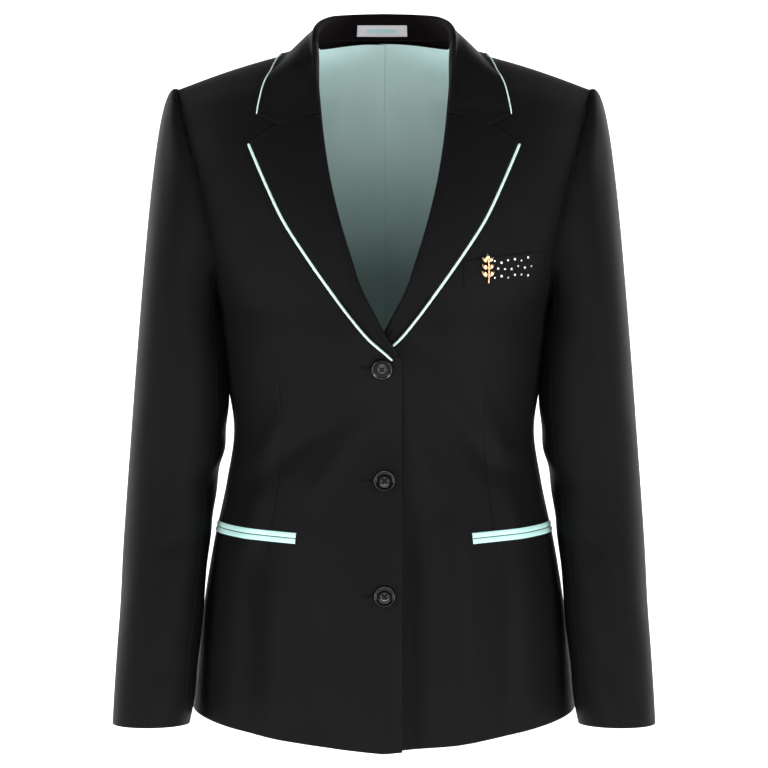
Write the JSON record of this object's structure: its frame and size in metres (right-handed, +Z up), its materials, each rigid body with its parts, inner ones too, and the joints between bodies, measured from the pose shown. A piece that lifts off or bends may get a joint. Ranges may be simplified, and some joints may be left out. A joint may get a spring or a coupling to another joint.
{
  "type": "school blazer",
  "caption": "Hollow single-breasted school blazer with notched lapels, contrast piping, jetted hip pockets, a breast welt and an open neck, hem and cuffs.",
  "frame": {"origin": "where the wearer's shoulders carry the blazer: midway between the two shoulder seams, at the height where the collar crosses them", "axes": "+Z up along the centre back towards the collar, +X towards the wearer's left, -Y out of the buttoned front"},
  "size_m": [0.5022, 0.2517, 0.6886],
  "materials": {
    "suiting": "matt black twill suiting",
    "contrast_trim": "pale mint satin, soft sheen",
    "satin_lining": "mint satin, soft sheen",
    "woven_label": "matt woven tape",
    "gilt_pin": "polished gilt with clear stones",
    "button_resin": "gloss black"
  },
  "bodies": {
    "root": {"front_right": "suiting", "front_left": "suiting", "back_right": "suiting", "back_left": "suiting", "sleeve_top_right": "suiting", "sleeve_top_left": "suiting", "sleeve_under_right": "suiting", "sleeve_under_left": "suiting", "lapel_right": "suiting", "lapel_left": "suiting", "collar": "suiting", "chest_welt": "suiting", "piping_lapel_right": "contrast_trim", "piping_lapel_left": "contrast_trim", "piping_collar": "contrast_trim", "pocket_jet_upper_right": "contrast_trim", "pocket_jet_lower_right": "contrast_trim", "pocket_jet_upper_left": "contrast_trim", "pocket_jet_lower_left": "contrast_trim", "lining_right": "satin_lining", "lining_left": "satin_lining", "neck_label": "woven_label", "chest_pin": "gilt_pin", "button_1": "button_resin", "button_2": "button_resin", "button_3": "button_resin"}
  },
  "joints": []
}
